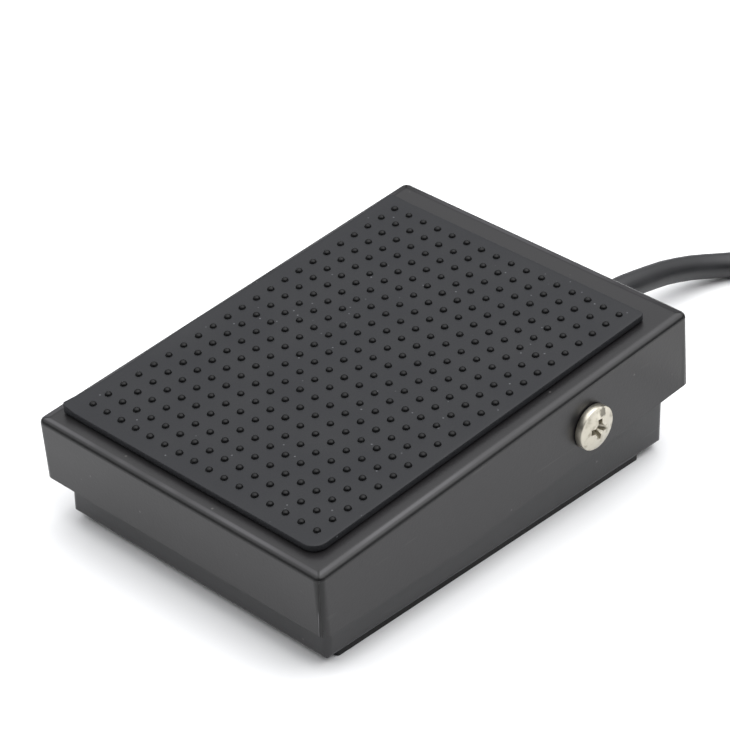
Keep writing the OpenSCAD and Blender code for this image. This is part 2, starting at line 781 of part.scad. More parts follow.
// The front of the skirt ends level with the floor, the rest parallel to the top
module skirt_cut() {
    across(-cover_w, cover_w)
        polygon([[-cover_len, -skirt_front_h + (cover_len / 2) * tan(slope)],
                 [skirt_bend_y, -skirt_h], [skirt_bend_y, -2 * skirt_h], [-cover_len, -2 * skirt_h]]);
}

// Ribs that stiffen the top plate from below, clear of the tray's rim
module cover_ribs() {
    side = 17;
    length = cover_len - 2 * (skirt_wall + tray_wall + front_gap + rear_gap) - 4;
    behind_spring = spring_y - cover_y + spring_d / 2 + 4;
    for (s = [-1, 1]) translate([s * side - rib_t / 2, -length / 2, under_z - rib_h])
        cube([rib_t, length, rib_h + eps]);
    for (y = [behind_spring, length / 2 - rib_t]) translate([-side, y, under_z - rib_h])
        cube([2 * side, rib_t, rib_h + eps]);
}

// Round boss hanging from the cover's underside at world place y, down to height z
module hanging_boss(y, z, d) {
    intersection() {
        translate([0, y, z]) cylinder(d = d, h = 2 * front_h);
        on_cover() translate([-cover_w / 2, -cover_len / 2, -2 * skirt_h])
            cube([cover_w, cover_len, 2 * skirt_h - top_wall / 2]);
    }
}

// Slits at the feet of the upright corners, where the folded sides of the cover meet
module corner_slits() {
    for (side = [-1, 1], end = [[-1, skirt_front_h], [1, skirt_h]])
        translate([side * cover_w / 2, end[0] * cover_len / 2, -end[1] - over])
            rotate(atan2(end[0], side)) translate([-slit_reach, -slit_w / 2, 0])
                cube([2 * slit_reach, slit_w, over + slit_h]);
}

module pedal_cover() {
    color("#454548") difference() {
        union() {
            on_cover() difference() {
                rounded_block(cover_w, cover_len, skirt_h, corner_r, edge_r);
                translate([0, 0, -skirt_h - over]) linear_extrude(skirt_h + over - top_wall)
                    rounded_rect(cover_w - 2 * skirt_wall, cover_len - 2 * skirt_wall, max(0.4, corner_r - skirt_wall));
                skirt_cut();
                corner_slits();
            }
            on_cover() cover_ribs();
            hanging_boss(spring_y, spring_top_z, spring_d + 2);
            hanging_boss(spring_y, spring_top_z - spring_post_h, spring_post_d);
            hanging_boss(plunger_y, plunger_top_z + face_gap, 7);
        }
        on_pivot() rod_x(shoulder_d / 2 + fit, -cover_w, cover_w);
    }
}

module pedal_pad() {
    pad_w = cover_w - 2 * pad_side;
    pad_len = cover_len - pad_front - pad_rear;
    across_n = floor((pad_w - 2 * stud_margin) / stud_pitch);
    along_n = floor((pad_len - 2 * stud_margin) / stud_pitch);
    color("#2f3034") on_cover() translate([pad_shift, (pad_front - pad_rear) / 2, fit]) {
        linear_extrude(pad_t - fit) rounded_rect(pad_w, pad_len, pad_corner_r);
        for (i = [0:across_n], j = [0:along_n])
            translate([(i - across_n / 2) * stud_pitch, (j - along_n / 2) * stud_pitch, pad_t - 2 * fit])
                cylinder(d = stud_d, h = stud_h + fit, $fn = 16);
    }
}

// ---------- free cord ----------

module cord() {
    color("#333336") tube(lead_points, cord_r, cord_sides);
}

module cord_coil() {
    color("#333336") translate([coil_x, coil_y, 0]) rotate_extrude()
        translate([coil_mean_r - coil_half, 0]) square([2 * coil_half, coil_h]);
}

module cord_end() {
    color("#333336") tube(tail_points, cord_r, cord_sides);
}

// Three cores that show where the cord's jacket is stripped
module cord_cores() {
    tip = tail_points[len(tail_points) - 1];
    way = heading(tail_points, len(tail_points) - 1);
    for (turn = [90, 210, 330]) color("#b8862e") translate(tip)
        rotate([0, 0, atan2(way[1], way[0])]) rotate([0, 90, 0])
            translate([-1.1 * sin(turn), 1.1 * cos(turn), fit]) cylinder(d = core_dia_end, h = core_show);
}

base_tray();
foot_mat();
pivot_screws();
pivot_washers();
pivot_nuts();
return_spring();
switch_bracket();
bracket_screws();
switch_case();
switch_lid();
switch_screws();
switch_nuts();
switch_plunger();
contact_blade();
com_terminal();
no_terminal();
nc_terminal();
wire_receptacles();
com_wire();
no_wire();
nc_wire();
inner_sheath();
cord_bushing();
cord_clamp();
clamp_screws();
pedal_cover();
pedal_pad();
cord();
cord_coil();
cord_end();
cord_cores();
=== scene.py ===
import math

import bmesh
import bpy
from mathutils import Matrix, Vector


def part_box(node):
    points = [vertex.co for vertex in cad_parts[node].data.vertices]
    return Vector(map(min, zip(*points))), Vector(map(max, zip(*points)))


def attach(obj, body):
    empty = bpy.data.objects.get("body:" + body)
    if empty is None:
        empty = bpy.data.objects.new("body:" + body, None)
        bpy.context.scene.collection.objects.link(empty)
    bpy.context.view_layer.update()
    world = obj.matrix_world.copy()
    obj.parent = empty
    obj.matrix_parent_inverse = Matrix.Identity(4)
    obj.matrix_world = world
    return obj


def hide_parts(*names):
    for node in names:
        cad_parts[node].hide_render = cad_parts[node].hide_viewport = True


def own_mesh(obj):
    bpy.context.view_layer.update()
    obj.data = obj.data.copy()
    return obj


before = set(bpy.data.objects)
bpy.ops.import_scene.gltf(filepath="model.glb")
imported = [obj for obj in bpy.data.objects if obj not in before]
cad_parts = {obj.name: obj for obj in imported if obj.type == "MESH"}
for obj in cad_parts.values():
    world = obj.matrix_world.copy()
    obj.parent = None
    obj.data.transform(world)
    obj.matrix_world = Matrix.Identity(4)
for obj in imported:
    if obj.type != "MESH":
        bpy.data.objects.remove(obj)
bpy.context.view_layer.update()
mm = 0.001
print("frame loaded:", len(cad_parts), "nodes")


# Small helpers that every piece uses
def linearColour(hexCode, alpha=1.0):
    parts = [int(hexCode[i:i + 2], 16) / 255 for i in (1, 3, 5)]
    return tuple(c / 12.92 if c <= 0.04045 else ((c + 0.055) / 1.055) ** 2.4 for c in parts) + (alpha,)


def perMm(size):
    return 1000 / size  # a pattern's scale from the size of its features in millimetres


def fillSockets(tree, node, values):
    # A node or a socket is linked in, and anything else is the socket's own value
    for key, value in values.items():
        if isinstance(value, bpy.types.Node):
            value = value.outputs[0]
        if isinstance(value, bpy.types.NodeSocket):
            tree.links.new(value, node.inputs[key])
        else:
            node.inputs[key].default_value = value


def addNode(tree, kind, links=None, **settings):
    # The links are a dictionary, or a row that fills the sockets in their order
    node = tree.nodes.new(kind)
    for name, value in settings.items():
        setattr(node, name, value)
    fillSockets(tree, node, dict(enumerate(links)) if isinstance(links, (list, tuple)) else links or {})
    return node


def makePiece(name, mesh, materials=()):
    piece = bpy.data.objects.new(name, mesh)
    bpy.context.collection.objects.link(piece)
    for material in materials:
        mesh.materials.append(material)
    return piece


def meshFrom(name, points, faces, sharpDeg=40):
    mesh = bpy.data.meshes.new(name)
    mesh.from_pydata([tuple(p) for p in points], [], faces)
    shell = bmesh.new()
    shell.from_mesh(mesh)
    bmesh.ops.remove_doubles(shell, verts=shell.verts, dist=1e-7)
    bmesh.ops.recalc_face_normals(shell, faces=shell.faces)
    shell.to_mesh(mesh)
    shell.free()
    mesh.polygons.foreach_set("use_smooth", [True] * len(mesh.polygons))
    mesh.set_sharp_from_angle(angle=math.radians(sharpDeg))
    return mesh


def turned(profile, sides):
    # Points and faces of a closed shape turned round Z, from (radius, height) pairs that start and end
    # on the axis
    points, faces = [], []
    for radius, height in profile:
        for k in range(sides):
            angle = 2 * math.pi * k / sides
            points.append((radius * math.cos(angle), radius * math.sin(angle), height))
    for i in range(len(profile) - 1):
        faces += bandFaces(i * sides, sides)
    return points, faces


def ringAround(centre, side, lift, radius, count):
    # Points of a circle round the centre, from the side towards the lift
    angles = [2 * math.pi * k / count for k in range(count)]
    return [centre + radius * (math.cos(a) * side + math.sin(a) * lift) for a in angles]


def bandFaces(start, count):
    # Faces between a ring of points and the next ring of as many
    return [(start + k, start + (k + 1) % count, start + (k + 1) % count + count, start + k + count)
            for k in range(count)]


# The folded cover that the pad and the paint follow; millimetres and degrees
coverSettings = {"slope": 4.5, "length": 104.5, "width": 76.6, "frontHeight": 24.1, "back": -0.6316,
                 "corner": 1.6}


def coverCentre(settings):
    # Middle of the cover's sloping top
    rise = settings["length"] / 2 * math.sin(math.radians(settings["slope"]))
    return Vector((0, settings["back"], settings["frontHeight"] + rise)) * mm


# Camera above the right front corner
cameraSettings = {"place": (0.36473, -0.37176, 0.37055), "turn": (56.647, 0.95, 43.896), "lens": 157.389}

cameraData = bpy.data.cameras.new("camera")
cameraData.lens = cameraSettings["lens"]
cameraData.sensor_width = 36
cameraData.clip_end = 20
camera = bpy.data.objects.new("camera", cameraData)
camera.location = cameraSettings["place"]
camera.rotation_euler = [math.radians(a) for a in cameraSettings["turn"]]
bpy.context.collection.objects.link(camera)
bpy.context.scene.camera = camera
print("camera placed")


# Finishes, each made once and shared by the pieces of that stuff
def newMaterial(name):
    material = bpy.data.materials.new(name)
    material.use_nodes = True
    tree = material.node_tree
    return material, tree, tree.nodes["Principled BSDF"]


# The cover's folds: their soft roll, painted highlight, painted shade, painted glint and the dark seams at
# the corners. Distances are millimetres in from the fold or below the top
foldSettings = {
    "roll": (0.5, 2.1), "rollDepth": 0.36,
    # Painted highlight on top, just inside each fold
    "highlightStart": (0.6, 1.1), "highlightEnd": (1.9, 1.4), "highlightBelow": (-0.7, -0.2), "highlightHex": "#464547",
    # Painted shade under the fold and down the corners, darkened together with the seams
    "shadeReach": (1.3, 0.7), "shadeBelow": (-0.03, -0.3), "shadeAndSeamHex": "#050505",
    "cornerBelow": (-0.6, -1.4), "seam": (0.3, 0.12), "seamDepth": 0.35,
    "mitre": (0.45, 0.15), "mitreReach": (2.6, 1.7),
    # Painted glint low beside each corner seam
    "glintStart": (0.22, 0.32), "glintEnd": (0.6, 0.45), "glintBelow": (-7.5, -9.5), "glintHex": "#59585a",
}


def foldMasks(tree, where, clouds, cover, fold):
    # Every mask along the folds by name: the roll, painted highlight, painted shade, seams and painted glint,
    # from places measured in the cover's own frame
    slope = math.radians(cover["slope"])
    local = addNode(tree, "ShaderNodeMapping", {"Vector": where, "Location": coverCentre(cover),
                    "Rotation": (slope, 0.0, 0.0), "Scale": (mm, mm, mm)}, vector_type="TEXTURE")
    axes = addNode(tree, "ShaderNodeSeparateXYZ", (local,)).outputs
    known = {"x": axes["X"], "y": axes["Y"], "below": axes["Z"], "clouds": clouds}
    steps = (
        # The skirt hangs upright below the sloping top, so its lean is taken off
        ("along", "MULTIPLY_ADD", "below", -math.tan(slope), "y"),
        ("xSize", "ABSOLUTE", "x"), ("fromSide", "SUBTRACT", cover["width"] / 2, "xSize"),
        ("ySize", "ABSOLUTE", "along"), ("fromEnd", "SUBTRACT", cover["length"] / 2, "ySize"),
        ("inward", "MINIMUM", "fromSide", "fromEnd"), ("outward", "MAXIMUM", "fromSide", "fromEnd"),
        ("across", "SUBTRACT", "fromSide", "fromEnd"), ("apart", "ABSOLUTE", "across"),
        # Straight distance to the nearest fold
        ("deep", "MULTIPLY", "below", "below"),
        ("sideSquare", "MULTIPLY_ADD", "fromSide", "fromSide", "deep"),
        ("endSquare", "MULTIPLY_ADD", "fromEnd", "fromEnd", "deep"),
        ("nearSquare", "MINIMUM", "sideSquare", "endSquare"), ("near", "SQRT", "nearSquare"),
        # The top rolls down towards the fold before the steel's own small round
        ("roll", "soft", "inward", *fold["roll"], -fold["rollDepth"], 0.0),
        # Painted highlight: a pale line on top, just inside the fold, in broken stretches
        ("highlightIn", "soft", "inward", *fold["highlightStart"]), ("highlightOut", "soft", "inward", *fold["highlightEnd"]),
        ("highlightLine", "MULTIPLY", "highlightIn", "highlightOut"), ("highlightTop", "soft", "below", *fold["highlightBelow"]),
        ("highlightOnTop", "MULTIPLY", "highlightLine", "highlightTop"), ("broken", "soft", "clouds", 0.35, 0.6, 0.25, 1.0),
        ("paintedHighlight", "MULTIPLY", "highlightOnTop", "broken"),
        # Painted shade: darker paint under the fold and down the upright corners
        ("closeBy", "soft", "near", *fold["shadeReach"]),
        ("justBelow", "soft", "below", *fold["shadeBelow"], 0.0, 0.75),
        ("under", "MULTIPLY", "closeBy", "justBelow"),
        ("cornerBand", "soft", "outward", cover["corner"] + 0.2, cover["corner"] - 0.5),
        ("cornerBelow", "soft", "below", *fold["cornerBelow"]),
        ("corner", "MULTIPLY", "cornerBand", "cornerBelow"),
        # The open seam down each corner, a thin black line that runs in over the top as a mitre
        ("seamLine", "soft", "apart", *fold["seam"]), ("seam", "MULTIPLY", "seamLine", "corner"),
        ("mitreLine", "soft", "apart", *fold["mitre"]),
        ("mitreEnd", "soft", "outward", *fold["mitreReach"], 0.0, 0.8),
        ("mitre", "MULTIPLY", "mitreLine", "mitreEnd"),
        # The painted shade and the dark seam lines are darkened as one mask
        ("paintedShade", "MAXIMUM", "under", "corner"), ("lines", "MAXIMUM", "seam", "mitre"),
        ("shadeAndSeams", "MAXIMUM", "paintedShade", "lines"),
        # Painted highlight: a bright glint line low beside the seam
        ("glintIn", "soft", "across", *fold["glintStart"]), ("glintOut", "soft", "across", *fold["glintEnd"]),
        ("glintLine", "MULTIPLY", "glintIn", "glintOut"), ("glintCorner", "MULTIPLY", "glintLine", "corner"),
        ("glintLow", "soft", "below", *fold["glintBelow"]), ("glint", "MULTIPLY", "glintCorner", "glintLow"),
    )
    for name, how, *row in steps:
        row = [known.get(part, part) for part in row]
        if how == "soft":
            known[name] = addNode(tree, "ShaderNodeMapRange", row, interpolation_type="SMOOTHSTEP").outputs[0]
        else:
            known[name] = addNode(tree, "ShaderNodeMath", row, operation=how).outputs[0]
    return known


def paintedMetal(name, baseHex, wearHex, roughness, grainMm, grainDepth, cover=None):
    # Stove enamel over pressed steel: a satin skin with faint orange peel, cloudy patches of gloss,
    # a few pale dust specks and hairline scuffs. Given the cover, its folds are soft with a painted highlight
    # on top, painted shade below and down the corners, dark open seams and a painted glint low beside each
    # seam
    material, tree, shader = newMaterial(name)
    where = addNode(tree, "ShaderNodeTexCoord").outputs["Object"]
    clouds = addNode(tree, "ShaderNodeTexNoise", {"Vector": where, "Scale": perMm(26), "Detail": 3.0})
    peel = addNode(tree, "ShaderNodeTexNoise", {"Vector": where, "Scale": perMm(grainMm), "Detail": 2.0})
    specks = addNode(tree, "ShaderNodeTexVoronoi", {"Vector": where, "Scale": perMm(5.5)})
    speckMask = addNode(tree, "ShaderNodeMapRange", (specks, 0.03, 0.055, 0.55, 0.0))
    stretch = addNode(tree, "ShaderNodeMapping", {"Vector": where, "Scale": (1.0, 0.09, 1.3),
                      "Rotation": (math.radians(coverSettings["slope"]), 0.0, 0.0)})
    hairs = addNode(tree, "ShaderNodeTexNoise", {"Vector": stretch, "Scale": perMm(1.3), "Detail": 1.0})
    hairMask = addNode(tree, "ShaderNodeMapRange", (hairs, 0.735, 0.78, 0.0, 0.12))
    marks = addNode(tree, "ShaderNodeMath", (speckMask, hairMask), operation="MAXIMUM")
    tint = addNode(tree, "ShaderNodeMapRange", (clouds, 0.3, 0.7, 0.88, 1.14))
    ground = addNode(tree, "ShaderNodeMix", {0: 1.0, 6: linearColour(baseHex), 7: tint},
                     data_type="RGBA", blend_type="MULTIPLY")
    colour = addNode(tree, "ShaderNodeMix", {0: marks, 6: ground.outputs[2], 7: linearColour(wearHex)},
                     data_type="RGBA")
    gloss = addNode(tree, "ShaderNodeMapRange", (clouds, 0.3, 0.7, roughness - 0.04, roughness + 0.04))
    height = addNode(tree, "ShaderNodeMath", (peel, grainDepth), operation="MULTIPLY")
    if cover:
        masks = foldMasks(tree, where, clouds.outputs[0], cover, foldSettings)
        # The folds' painted highlight, painted shade with the dark seams, and painted glint go into the
        # colour
        for mask, lightShadeAndSeamColour in (("paintedHighlight", "highlightHex"), ("shadeAndSeams", "shadeAndSeamHex"), ("glint", "glintHex")):
            colour = addNode(tree, "ShaderNodeMix", {0: masks[mask], 6: colour.outputs[2],
                             7: linearColour(foldSettings[lightShadeAndSeamColour])}, data_type="RGBA")
        height = addNode(tree, "ShaderNodeMath", (height, masks["roll"]), operation="ADD")
        height = addNode(tree, "ShaderNodeMath", (masks["seam"], -foldSettings["seamDepth"], height),
                         operation="MULTIPLY_ADD")
    bump = addNode(tree, "ShaderNodeBump", {"Height": height, "Distance": mm, "Strength": 1.0})
    fillSockets(tree, shader, {"Base Color": colour.outputs[2], "Roughness": gloss, "Normal": bump,
                               "IOR": 1.45, "Specular IOR Level": 0.4})
    return material


def mouldedRubber(name, baseHex, dustHex, roughness, grainMm, dustiness, sheen=0.5):
    # Moulded synthetic rubber: matt and slightly chalky, with fine mould grain and lint that clings to it
    material, tree, shader = newMaterial(name)
    where = addNode(tree, "ShaderNodeTexCoord").outputs["Object"]
    clouds = addNode(tree, "ShaderNodeTexNoise", {"Vector": where, "Scale": perMm(14), "Detail": 4.0})
    grain = addNode(tree, "ShaderNodeTexNoise", {"Vector": where, "Scale": perMm(grainMm), "Detail": 3.0})
    lint = addNode(tree, "ShaderNodeTexVoronoi", {"Vector": where, "Scale": perMm(3.1)})
    lintMask = addNode(tree, "ShaderNodeMapRange", (lint, 0.04, 0.075, dustiness, 0.0))
    tint = addNode(tree, "ShaderNodeMapRange", (clouds, 0.3, 0.7, 0.86, 1.14))
    ground = addNode(tree, "ShaderNodeMix", {0: 1.0, 6: linearColour(baseHex), 7: tint},
                     data_type="RGBA", blend_type="MULTIPLY")
    colour = addNode(tree, "ShaderNodeMix", {0: lintMask, 6: ground.outputs[2], 7: linearColour(dustHex)},
                     data_type="RGBA")
    gloss = addNode(tree, "ShaderNodeMapRange", (clouds, 0.3, 0.7, roughness - 0.05, roughness + 0.06))
    bump = addNode(tree, "ShaderNodeBump", {"Height": grain, "Distance": 0.05 * mm, "Strength": 0.7})
    fillSockets(tree, shader, {"Base Color": colour.outputs[2], "Roughness": gloss, "Normal": bump,
                               "IOR": 1.52, "Specular IOR Level": sheen})
    return material


def platedSteel(name, baseHex, stainHex, roughness, scar=None):
    # Bright plating on turned or pressed steel: a clean metal with faint turning marks and dull handling
    # stains. A scar is where a slipping driver has bruised it, given as its place in millimetres
    material, tree, shader = newMaterial(name)
    where = addNode(tree, "ShaderNodeTexCoord").outputs["Object"]
    stains = addNode(tree, "ShaderNodeTexNoise", {"Vector": where, "Scale": perMm(1.6), "Detail": 5.0})
    fine = addNode(tree, "ShaderNodeTexNoise", {"Vector": where, "Scale": perMm(0.35), "Detail": 2.0})
    stainMask = addNode(tree, "ShaderNodeMapRange", (stains, 0.56, 0.74, 0.0, 0.7))
    colour = addNode(tree, "ShaderNodeMix", {0: stainMask, 6: linearColour(baseHex),
                     7: linearColour(stainHex)}, data_type="RGBA")
    gloss = addNode(tree, "ShaderNodeMapRange", (stains, 0.4, 0.75, roughness, roughness + 0.2))
    if scar:
        reach = addNode(tree, "ShaderNodeVectorMath", (where, Vector(scar) * mm), operation="DISTANCE")
        ragged = addNode(tree, "ShaderNodeMath", (stains, -2.2 * mm, reach.outputs["Value"]),
                         operation="MULTIPLY_ADD")
        bruise = addNode(tree, "ShaderNodeMapRange", (ragged, 0.15 * mm, -0.35 * mm, 0.0, 0.85),
                         interpolation_type="SMOOTHSTEP")
        colour = addNode(tree, "ShaderNodeMix", {0: bruise, 6: colour.outputs[2], 7: linearColour("#4d4a42")},
                         data_type="RGBA")
    bump = addNode(tree, "ShaderNodeBump", {"Height": fine, "Distance": 0.03 * mm, "Strength": 0.4})
    fillSockets(tree, shader, {"Base Color": colour.outputs[2], "Roughness": gloss, "Normal": bump,
                               "Metallic": 1.0})
    return material


def mouldedPlastic(name, baseHex, shadeHex, roughness, ior):
    # Injection-moulded plastic: an even colour with faint flow clouds and the mould's fine spark grain
    material, tree, shader = newMaterial(name)
    where = addNode(tree, "ShaderNodeTexCoord").outputs["Object"]
    flow = addNode(tree, "ShaderNodeTexNoise", {"Vector": where, "Scale": perMm(7), "Detail": 2.0})
    spark = addNode(tree, "ShaderNodeTexNoise", {"Vector": where, "Scale": perMm(0.3), "Detail": 2.0})
    colour = addNode(tree, "ShaderNodeMix", {0: flow, 6: linearColour(baseHex), 7: linearColour(shadeHex)},
                     data_type="RGBA")
    gloss = addNode(tree, "ShaderNodeMapRange", (flow, 0.3, 0.7, roughness - 0.06, roughness + 0.06))
    bump = addNode(tree, "ShaderNodeBump", {"Height": spark, "Distance": 0.02 * mm, "Strength": 0.5})
    fillSockets(tree, shader, {"Base Color": colour.outputs[2], "Roughness": gloss, "Normal": bump,
                               "IOR": ior})
    return material


def cordJacket(name, baseHex, paleHex):
    # Extruded PVC jacket: satin, faintly ribbed along its length by the die, with pale rub marks
    material, tree, shader = newMaterial(name)
    where = addNode(tree, "ShaderNodeTexCoord").outputs["Object"]
    around = addNode(tree, "ShaderNodeUVMap", uv_map="route")
    lines = addNode(tree, "ShaderNodeMapping", {"Vector": around, "Scale": (34.0, 6.0, 1.0)})
    die = addNode(tree, "ShaderNodeTexNoise", {"Vector": lines, "Scale": 1.0, "Detail": 2.0})
    rubs = addNode(tree, "ShaderNodeTexNoise", {"Vector": where, "Scale": perMm(9), "Detail": 4.0})
    rubMask = addNode(tree, "ShaderNodeMapRange", (rubs, 0.45, 0.7, 0.0, 0.5))
    colour = addNode(tree, "ShaderNodeMix", {0: rubMask, 6: linearColour(baseHex), 7: linearColour(paleHex)},
                     data_type="RGBA")
    gloss = addNode(tree, "ShaderNodeMapRange", (rubs, 0.3, 0.7, 0.42, 0.54))
    bump = addNode(tree, "ShaderNodeBump", {"Height": die, "Distance": 0.05 * mm, "Strength": 0.5})
    fillSockets(tree, shader, {"Base Color": colour.outputs[2], "Roughness": gloss, "Normal": bump,
                               "IOR": 1.53})
    return material


# Name, colours, roughness, and then the size and depth of the grain or the share of dust
coverEnamel = paintedMetal("blackStoveEnamel", "#1f1e1f", "#5c5a58", 0.34, 0.55, 0.02, coverSettings)
# Painted light: the tray's black enamel is mixed paler than the cover's, making up for the shade it sits in
# under the cover's skirt
trayEnamel = paintedMetal("blackTrayEnamel", "#303031", "#5f5e5d", 0.38, 0.5, 0.02)
padRubber = mouldedRubber("mouldedPadRubber", "#131418", "#85868a", 0.62, 0.4, 0.35, 0.4)
# The studs' rubber is much darker than the pad's
studRubber = mouldedRubber("darkStudRubber", "#050506", "#1a1b1d", 0.36, 0.3, 0.1, 0.2)
matRubber = mouldedRubber("footMatRubber", "#0e0e0e", "#454545", 0.8, 0.5, 0.2)
bushingRubber = mouldedRubber("bushingRubber", "#232325", "#4c4c4e", 0.6, 0.35, 0.1)
nickelPlate = platedSteel("nickelPlatedSteel", "#b8b3a6", "#7a7465", 0.28, scar=(40.4, 23.2, 23.5))
zincPlate = platedSteel("zincPlatedSteel", "#c3c6c9", "#8d9093", 0.3)
springWire = platedSteel("drawnSpringSteel", "#a9abad", "#6f7173", 0.26)
brassStrip = platedSteel("rolledBrassStrip", "#d9b66a", "#8f7440", 0.24)
tinnedBrass = platedSteel("tinnedBrass", "#cfc9b4", "#948c72", 0.3)
bladeCopper = platedSteel("berylliumCopperStrip", "#d79468", "#8a5a3c", 0.22)
bareCopper = platedSteel("tinnedCopperStrand", "#c98f5e", "#8c5f3c", 0.34)
naturalNylon = mouldedPlastic("naturalNylon", "#e3dcc8", "#cfc7b0", 0.45, 1.53)
blackPhenolic = mouldedPlastic("blackPhenolic", "#1b1918", "#26221f", 0.36, 1.6)
brownPhenolic = mouldedPlastic("brownPhenolic", "#2d1d15", "#3a261b", 0.38, 1.6)
redAcetal = mouldedPlastic("redAcetal", "#9c1b14", "#b42a1f", 0.34, 1.48)
redPvc = mouldedPlastic("redPvcInsulation", "#a3231b", "#b8372c", 0.42, 1.53)
bluePvc = mouldedPlastic("bluePvcInsulation", "#22509c", "#2f62b2", 0.42, 1.53)
yellowPvc = mouldedPlastic("yellowPvcInsulation", "#d0a91c", "#deba35", 0.42, 1.53)
sheathPvc = mouldedPlastic("blackPvcSheath", "#1b1b1d", "#2b2b2e", 0.48, 1.53)
jacketPvc = cordJacket("extrudedPvcJacket", "#1b1b1d", "#2b2b2e")
print("materials made")


# Free cord: out of the rear, down to the floor and wound into a coil; sizes in millimetres and degrees
cordSettings = {
    "diameter": 5.5, "sides": 16, "step": 4.0,
    "exit": (0, 70.8039, 10),
    "lead": [(0, 70.8039, 10), (0, 74.4376, 10), (0.1, 80, 9.4), (0.1, 85.4, 8.4), (0.1, 91, 7.3),
             (0.5, 96, 6.1), (1.2, 100.4, 5), (2.3, 104.3, 4), (3.8, 108, 3.2), (6, 112, 2.75),
             (9, 116.5, 2.75), (12.5, 121, 2.75), (17, 125, 2.75), (22, 128.2, 2.75), (28, 131.6, 2.75),
             (34, 135, 2.75), (40, 138.4, 2.75)],
    "coilCentre": (62, 110), "turnRadii": (35.5, 30, 24.5), "layers": 3,
    "pointsPerTurn": 24, "startDeg": 120, "endDeg": 270, "inwardOver": (300, 358), "upOver": (250, 318),
    "tail": [(54, 86.8, 14.6), (45.6, 90.4, 16.4), (38.2, 96.4, 18.2), (33.6, 103.6, 19.2), (32, 110, 19.3),
             (33.2, 118.4, 19.3), (37.4, 127, 19.3), (44, 134, 19.3), (52, 138.2, 19.3)],
}


def easeStep(value, start, end):
    t = min(1.0, max(0.0, (value - start) / (end - start)))
    return t * t * (3 - 2 * t)


def coilRoute(settings):
    # Clockwise turns from the outside in, then out, then in again, each layer lying on the one below
    d = settings["diameter"]
    radii = list(settings["turnRadii"])
    order = []
    for layer in range(settings["layers"]):
        row = radii if layer % 2 == 0 else radii[::-1]
        order += [(r, d / 2 + layer * d) for r in row]
    totalDeg = 360 * len(order) - (360 - (settings["startDeg"] - settings["endDeg"]) % 360) % 360
    stepDeg = 360 / settings["pointsPerTurn"]
    route = []
    for i in range(int(totalDeg / stepDeg) + 1):
        swept = i * stepDeg
        turn, part = divmod(swept, 360)
        turn = min(int(turn), len(order) - 1)
        radius, height = order[turn]
        nextRadius, nextHeight = order[min(turn + 1, len(order) - 1)]
        radius += (nextRadius - radius) * easeStep(part, *settings["inwardOver"])
        height += (nextHeight - height) * easeStep(part, *settings["upOver"])
        angle = math.radians(settings["startDeg"] - swept)
        route.append((settings["coilCentre"][0] + radius * math.cos(angle),
                      settings["coilCentre"][1] + radius * math.sin(angle), height))
    return route


def smoothRoute(points, step):
    # Even steps along a soft curve through the points
    points = [Vector(p) for p in points]
    fine = []
    for i in range(len(points) - 1):
        a, b = points[max(i - 1, 0)], points[i]
        c, e = points[i + 1], points[min(i + 2, len(points) - 1)]
        for k in range(12):
            t = k / 12
            fine.append(0.5 * ((2 * b) + (c - a) * t + (2 * a - 5 * b + 4 * c - e) * t ** 2
                               + (3 * b - a - 3 * c + e) * t ** 3))
    fine.append(points[-1])
    even, carried = [fine[0]], 0.0
    for a, b in zip(fine, fine[1:]):
        carried += (b - a).length
        if carried >= step:
            even.append(b)
            carried = 0.0
    if (even[-1] - fine[-1]).length > step / 3:
        even.append(fine[-1])
    else:
        even[-1] = fine[-1]
    return even


def tubeMesh(name, route, radius, sides):
    # Round tube along a route, with its length and turn kept as a UV map
    points, faces, marks = [], [], []
    side = Vector((0, 0, 1)).cross(route[1] - route[0]).normalized()
    travelled = 0.0
    for i, point in enumerate(route):
        ahead = (route[min(i + 1, len(route) - 1)] - route[max(i - 1, 0)]).normalized()
        side = (side - ahead * side.dot(ahead)).normalized()
        lift = ahead.cross(side)
        if i:
            travelled += (point - route[i - 1]).length
        marks.append(travelled)
        points += ringAround(point, side, lift, radius, sides)
    for i in range(len(route) - 1):
        faces += bandFaces(i * sides, sides)
    faces += [tuple(range(sides))[::-1], tuple((len(route) - 1) * sides + k for k in range(sides))]
    mesh = bpy.data.meshes.new(name)
    mesh.from_pydata([tuple(p) for p in points], [], faces)
    layer = mesh.uv_layers.new(name="route")
    for face in mesh.polygons:
        # A face across the tube's seam reads its first column as one full turn on
        overSeam = any(mesh.loops[loop].vertex_index % sides == sides - 1 for loop in face.loop_indices)
        for loop in face.loop_indices:
            ring, k = divmod(mesh.loops[loop].vertex_index, sides)
            layer.data[loop].uv = (k / sides + (k == 0 and overSeam), marks[ring] * 10)
    shell = bmesh.new()
    shell.from_mesh(mesh)
    bmesh.ops.recalc_face_normals(shell, faces=shell.faces)
    shell.to_mesh(mesh)
    shell.free()
    mesh.polygons.foreach_set("use_smooth", [True] * len(mesh.polygons))
    mesh.set_sharp_from_angle(angle=math.radians(50))
    return mesh


rawRoute = cordSettings["lead"] + coilRoute(cordSettings) + cordSettings["tail"]
route = [p * mm for p in smoothRoute(rawRoute, cordSettings["step"])]
cordLength = sum((b - a).length for a, b in zip(route, route[1:]))
cordTube = tubeMesh("freeCord", route, cordSettings["diameter"] / 2 * mm, cordSettings["sides"])
freeCord = makePiece("freeCord", cordTube, [jacketPvc])
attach(freeCord, "base")
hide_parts("cord", "cord_coil", "cord_end")
print("cord made, metres long:", round(cordLength, 3), "points:", len(route))


# Cores at the cord's free end; sizes in millimetres
coreSettings = {"spread": 1.1, "insulated": 8.0, "bare": 6.0, "diameter": 1.6, "strand": 0.9}


